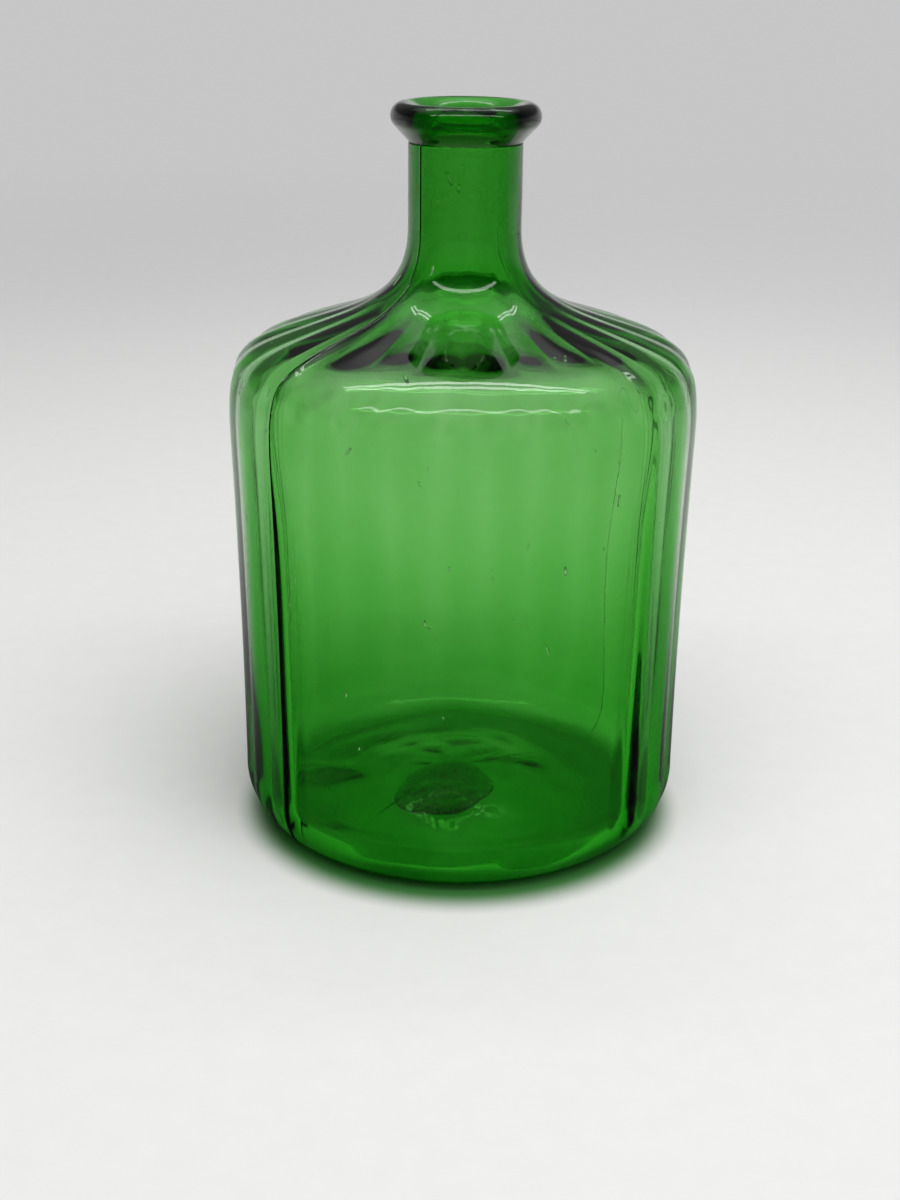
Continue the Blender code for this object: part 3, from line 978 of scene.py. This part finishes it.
@dataclass
class PontilScar:
    """The pad of broken glass that the pontil rod left on the push-up's ceiling.

    Its outline is radius · (1 + a sum of cosines). Below, it bulges as √(1 - share²)
    and is broken up by ripples; above, it hugs the ceiling.
    """

    body: BlownBody
    radius: float = 13.0 * MM
    thickness: float = 1.6 * MM
    side_offset: float = 4.0 * MM
    front_offset: float = 9.0 * MM
    gap: float = 0.08 * MM
    lobes: tuple[int, ...] = (2, 3, 5)
    lobe_shares: tuple[float, ...] = (0.10, 0.05, 0.04)
    columns: int = 120
    steps: int = 20
    # Ripples of the broken side, which start this share of the radius out
    smooth_middle: float = 0.3
    broken: Ripple = Ripple(0.22 * MM, 40, 17, 3 * MM, 31)
    finish: PotGlass = PotGlass("pot_green_broken_glass", density=2200.0, polished=0.15, dull=0.5,
                                dull_patch=3 * MM, cord_height=0.3 * MM, pit_height=0.06 * MM, scuffed=0.0)

    def make(self) -> bpy.types.Object:
        """Build the scar and dress it.

        Returns:
            The finished piece.
        """
        azimuth = whole_turn(self.columns) - math.pi
        lobes = zip(self.lobes, self.lobe_shares)
        swell = 1 + sum(size * np.cos(lobe * azimuth + lobe) for lobe, size in lobes)
        share = np.linspace(0, 1, self.steps + 1)[1:]
        bulge = self.thickness * np.sqrt(1 - share**2)
        chips = np.abs(self.broken.height(azimuth, share * self.radius))
        chips = chips * ease(0, self.smooth_middle, share)[:, None]
        under = -np.maximum(bulge[:, None] - chips * (1 - share**4)[:, None], 0)
        draft = MeshDraft()
        lower = draft.add_points(self.placed(share, swell, azimuth, under))
        upper = draft.add_points(self.placed(share[-2::-1], swell, azimuth, 0.0))
        pole_drops = np.array(((-self.thickness,), (0,)))
        poles = draft.add_points(self.placed(np.zeros(1), swell, azimuth[:1], pole_drops))
        draft.add_fan(lower[0], poles[0, 0], at_start=True)
        draft.add_bands(np.vstack((lower, upper)))
        draft.add_fan(upper[-1], poles[1, 0], at_start=False)
        return draft.make("pontil_scar_glass", self.finish.make())

    def placed(self, share: np.ndarray, swell: np.ndarray, azimuth: np.ndarray,
               drop: np.ndarray | float) -> np.ndarray:
        """Points of the pad, off the middle and under the ceiling.

        Args:
            share: Share of the radius, one for each ring.
            swell: The outline's share, one for each column.
            azimuth: One azimuth for each column.
            drop: Height over the pad's upper side, of a shape that fits rings by columns.

        Returns:
            An array of rings by columns by x, y and z.
        """
        radius = self.radius * share[:, None] * swell[None, :len(azimuth)]
        spot = turned(radius, drop, azimuth[None, :])
        spot[..., 0] -= self.side_offset
        spot[..., 1] -= self.front_offset
        spot[..., 2] += self.body.push_up_ceiling(np.hypot(spot[..., 0], spot[..., 1])) - self.gap
        return spot


@dataclass(frozen=True)
class MattePaper:
    """The pale paper that the bottle stands on, which fades into the backdrop far out.

    It is dull and almost white, with painted shade: greyer away from the bottle and on the left.
    Two painted marks stand in for what light does under real glass: a painted green shadow
    round the foot, which only the camera sees, and a painted green glow, which only shows through glass.
    """

    # Colours near the middle and far out, between which the painted falloff of light darkens the paper
    near: str = "#F0F0EE"
    far: str = "#D8D8D8"
    # Distances from the middle at which the painted falloff of light starts and ends, and at which it fades
    painted_falloff: tuple[float, float] = (0.15, 0.9)
    fading: tuple[float, float] = (0.75, 1.6)
    roughness: float = 0.9
    specular_level: float = 0.2
    mottle: float = 9 * MM
    mottle_shades: tuple[float, float] = (0.97, 1.02)
    # Painted shade: the paper is this much darker on the left, rising to full between these X
    left_shade: float = 0.94
    left_reach: tuple[float, float] = (-0.25, 0.25)
    # Painted shade that only mirror-like skins see: they show little of the paper's light in front of the
    # bottle, where the camera's side of the room shades it, and all of it behind
    mirrored: float = 0.04
    mirrored_reach: tuple[float, float] = (-0.05, 0.30)
    # Painted green shadow round the foot, for the camera only: its colour, fade distances and middle
    foot_shade: str = "#3E7A3C"
    foot_shade_reach: tuple[float, float] = (55 * MM, 67 * MM)
    foot_shade_middle: tuple[float, float, float] = (0.0, -4.5 * MM, 0.0)
    # Painted green glow round and under the bottle, standing in for light that came through the glass
    glow: str = "#2E9A2C"
    glow_strength: float = 0.6
    glow_reach: tuple[float, float] = (46 * MM, 160 * MM)

    def make(self) -> bpy.types.Material:
        """Build the material.

        Returns:
            The material.
        """
        material = bpy.data.materials.new("matte_white_paper")
        tree = empty_tree(material)
        place = add_node(tree, "TexCoord").outputs["Object"]
        sides = add_node(tree, "SeparateXYZ", (place,)).outputs
        path = add_node(tree, "LightPath").outputs
        distance = add_node(tree, "VectorMath", (place,), operation="LENGTH")

        # Painted shade: the paper darkens away from the middle, as the light pool falls off
        painted_falloff_share = add_node(tree, "MapRange", (distance, *self.painted_falloff), **SMOOTH)
        ends = {6: linear(self.near), 7: linear(self.far)}
        colour = add_node(tree, "Mix", {0: painted_falloff_share} | ends, data_type="RGBA")
        cloud = add_node(tree, "TexNoise", {"Vector": place, "Scale": 1 / self.mottle, "Detail": 6.0})
        grain = add_node(tree, "MapRange", (cloud, 0.0, 1.0, *self.mottle_shades))
        # Painted shade for mirror-like skins, dim in front of the bottle
        dimmed = dim_in_mirrors(tree, sides["Y"], self.mirrored_reach, self.mirrored)
        # Painted shade, a little darker on the left
        leftward = add_node(tree, "MapRange", (sides["X"], *self.left_reach, self.left_shade, 1.0), **SMOOTH)
        shade = add_node(tree, "Math", (dimmed, leftward), operation="MULTIPLY")
        for share in (grain, shade):
            colour = add_node(tree, "Mix", {0: 1.0, 6: colour, 7: share}, data_type="RGBA",
                              blend_type="MULTIPLY")

        # Painted green shadow round the foot, seen by camera rays alone
        from_foot = add_node(tree, "VectorMath", (place, self.foot_shade_middle), operation="DISTANCE")
        at_foot = add_node(tree, "MapRange", (from_foot, *self.foot_shade_reach, 1.0, 0.0), **SMOOTH)
        at_foot = add_node(tree, "Math", (at_foot, path["Is Camera Ray"]), operation="MULTIPLY")
        colour = add_node(tree, "Mix", {0: at_foot, 6: colour, 7: linear(self.foot_shade)}, data_type="RGBA")
        # Painted green glow: emission that only rays through glass see
        glow = add_node(tree, "MapRange", (distance, *self.glow_reach, self.glow_strength, 0.0), **SMOOTH)
        glow = add_node(tree, "Math", (glow, path["Is Transmission Ray"]), operation="MULTIPLY")
        paper = add_node(tree, "BsdfPrincipled", {
            "Base Color": colour, "Roughness": self.roughness, "Specular IOR Level": self.specular_level,
            "Emission Color": linear(self.glow), "Emission Strength": glow})
        fade = add_node(tree, "MapRange", (distance, *self.fading), **SMOOTH)
        blend = add_node(tree, "MixShader", (fade, paper, add_node(tree, "BsdfTransparent")))
        add_node(tree, "OutputMaterial", {"Surface": blend})
        return material


@dataclass
class Studio:
    """Floor, backdrop, lamps and camera, none of which belongs to the bottle."""

    floor_radius: float = 1.65
    floor_drop: float = 0.05 * MM
    floor_columns: int = 96
    floor_rings: int = 24
    floor_ring_growth: float = 1.5
    # What eye, gloss and glass see of the surroundings
    horizon: str = "#C2C2C2"
    ceiling: str = "#FFFFFF"
    ceiling_strength: float = 1.05
    # What lights dull surfaces: little from the sides, most from above
    top_light: float = 3.4
    light_gather: float = 6.0
    light_lean: tuple[float, float, float] = (0.17, -0.36, 0.917)
    # What mirror-like skins show of the dim room behind the camera, and the Y of a ray's
    # direction between which it brightens
    room_behind_camera: float = 0.10
    room_end: tuple[float, float] = (-0.4, 1.0)
    # What gloss and glass show of a dim ring in the sky, and the Z of a ray's direction
    # between which it starts and ends
    ring_strength: float = 0.20
    ring_start: tuple[float, float] = (0.05, 0.30)
    ring_end: tuple[float, float] = (0.58, 0.80)
    # Lamps: two tubes over the bottle and behind it, and a broader panel in front
    lamp_height: float = 1.07
    lamp_side: float = 0.03
    lamp_backs: tuple[float, ...] = (0.352, 0.428, -0.507)
    lamp_lengths: tuple[float, ...] = (1.1, 1.1, 2.0)
    lamp_widths: tuple[float, ...] = (40 * MM, 40 * MM, 130 * MM)
    lamp_radiances: tuple[float, ...] = (5.2, 5.2, 4.6)
    # Camera: where it stands, how far it looks down and how it leans
    camera_place: tuple[float, float, float] = (-3.04 * MM, -488.0 * MM, 247.0 * MM)
    pitch_degrees: float = 20.7
    roll_degrees: float = 0.531
    lens: float = 54.0
    nearest_shown: float = 0.01
    # How often light may bounce, in all and through glass, and between glosses
    bounces: int = 28
    glossy_bounces: int = 12
    paper: MattePaper = MattePaper()

    def make_floor(self) -> None:
        """Lay a round floor: rings of points at growing radii round the origin."""
        azimuth = whole_turn(self.floor_columns)
        share = np.linspace(0, 1, self.floor_rings + 1)[:0:-1, None]
        radii = self.floor_radius * share**self.floor_ring_growth
        draft = MeshDraft()
        rings = draft.add_points(turned(radii, -self.floor_drop, azimuth[None, :]))
        pole = draft.add_points(np.array(((0, 0, -self.floor_drop),)))
        draft.add_bands(rings)
        draft.add_fan(rings[-1], pole[0], at_start=False)
        draft.make("paper_floor", self.paper.make())

    def make_backdrop(self) -> None:
        """Light the world: one sky for what is seen, and one lobe of light for dull surfaces.

        The sky is paler towards the zenith. Gloss and glass show a dim ring in it, and
        gloss shows it dim behind the camera too. The lobe is light · (direction · lean),
        raised to the power that gathers it.
        """
        world = bpy.data.worlds.new("pale_studio")
        bpy.context.scene.world = world
        tree = empty_tree(world)
        way = add_node(tree, "TexCoord").outputs["Generated"]
        sides = add_node(tree, "SeparateXYZ", (way,)).outputs
        path = add_node(tree, "LightPath").outputs

        sky = {0: sides["Z"], 6: linear(self.horizon), 7: linear(self.ceiling)}
        colour = add_node(tree, "Mix", sky, data_type="RGBA")
        low = add_node(tree, "MapRange", (sides["Z"], *self.ring_start, 1.0, self.ring_strength), **SMOOTH)
        high = add_node(tree, "MapRange", (sides["Z"], *self.ring_end), **SMOOTH)
        strength = add_node(tree, "Math", (low, high), operation="MAXIMUM")
        strength = add_node(tree, "Math", (strength, path["Is Camera Ray"]), operation="MAXIMUM")
        for share in (dim_in_mirrors(tree, sides["Y"], self.room_end, self.room_behind_camera),
                      self.ceiling_strength):
            strength = add_node(tree, "Math", (strength, share), operation="MULTIPLY")
        seen = add_node(tree, "Background", (colour, strength))

        glow = add_node(tree, "VectorMath", (way, self.light_lean), operation="DOT_PRODUCT")
        steps = (("MAXIMUM", 0.0), ("POWER", self.light_gather), ("MULTIPLY", self.top_light))
        for operation, value in steps:
            glow = add_node(tree, "Math", (glow, value), operation=operation)
        light = add_node(tree, "Background", (linear(self.ceiling), glow))

        # The sky is for straight, mirrored and bent sight lines that met no dull surface,
        # and the lobe is for all others
        sight = path["Is Camera Ray"]
        for ray in ("Is Glossy Ray", "Is Transmission Ray"):
            sight = add_node(tree, "Math", (sight, path[ray]), operation="MAXIMUM")
        unscattered = add_node(tree, "Math", (path["Diffuse Depth"], 0.5), operation="LESS_THAN")
        sight = add_node(tree, "Math", (sight, unscattered), operation="MULTIPLY")
        both = add_node(tree, "MixShader", (sight, light, seen))
        add_node(tree, "OutputWorld", {"Surface": both})

    def make_lamps(self) -> None:
        """Hang the lamps: each gives power = radiance · π · area."""
        lamps = zip(self.lamp_backs, self.lamp_lengths, self.lamp_widths, self.lamp_radiances)
        for back, length, width, radiance in lamps:
            lamp = bpy.data.lights.new("lamp", "AREA")
            lamp.shape = "RECTANGLE"
            lamp.size = length
            lamp.size_y = width
            lamp.energy = radiance * math.pi * length * width
            holder = bpy.data.objects.new("lamp", lamp)
            holder.location = (self.lamp_side, back, self.lamp_height)
            holder.visible_camera = False
            bpy.context.scene.collection.objects.link(holder)

    def make_camera(self) -> None:
        """Stand the camera where the photograph was taken from."""
        lens = bpy.data.cameras.new("camera")
        lens.lens = self.lens
        lens.clip_start = self.nearest_shown
        camera = bpy.data.objects.new("camera", lens)
        camera.matrix_world = (
            Matrix.Translation(self.camera_place)
            @ Matrix.Rotation(math.radians(90 - self.pitch_degrees), 4, "X")
            @ Matrix.Rotation(math.radians(self.roll_degrees), 4, "Z"))
        bpy.context.scene.collection.objects.link(camera)
        bpy.context.scene.camera = camera

    def make(self) -> None:
        """Build the whole studio."""
        self.make_camera()
        self.make_floor()
        self.make_backdrop()
        self.make_lamps()
        scene = bpy.context.scene
        scene.view_settings.view_transform = "Standard"
        scene.cycles.max_bounces = self.bounces
        scene.cycles.transmission_bounces = self.bounces
        scene.cycles.glossy_bounces = self.glossy_bounces


def settle(piece: bpy.types.Object, node: Node) -> None:
    """Put a piece on the frame in place of its solid, and report it.

    Args:
        piece: The finished piece.
        node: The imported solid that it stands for.
    """
    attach(piece, "root")
    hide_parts(node.value)
    corners = np.array([corner[:] for corner in piece.bound_box]) / MM
    LOG.info("%s: %d faces, from %s to %s mm", piece.name, len(piece.data.polygons),
             corners.min(axis=0).round(2), corners.max(axis=0).round(2))


def main() -> None:
    """Build the studio and the three pieces of glass."""
    logging.basicConfig(level=logging.INFO, format="%(name)s: %(message)s")
    Studio().make()
    body = BlownBody()
    settle(body.make(), Node.BODY)
    settle(LaidOnLip(body).make(), Node.LIP)
    settle(PontilScar(body).make(), Node.SCAR)


if __name__ == "__main__":
    main()
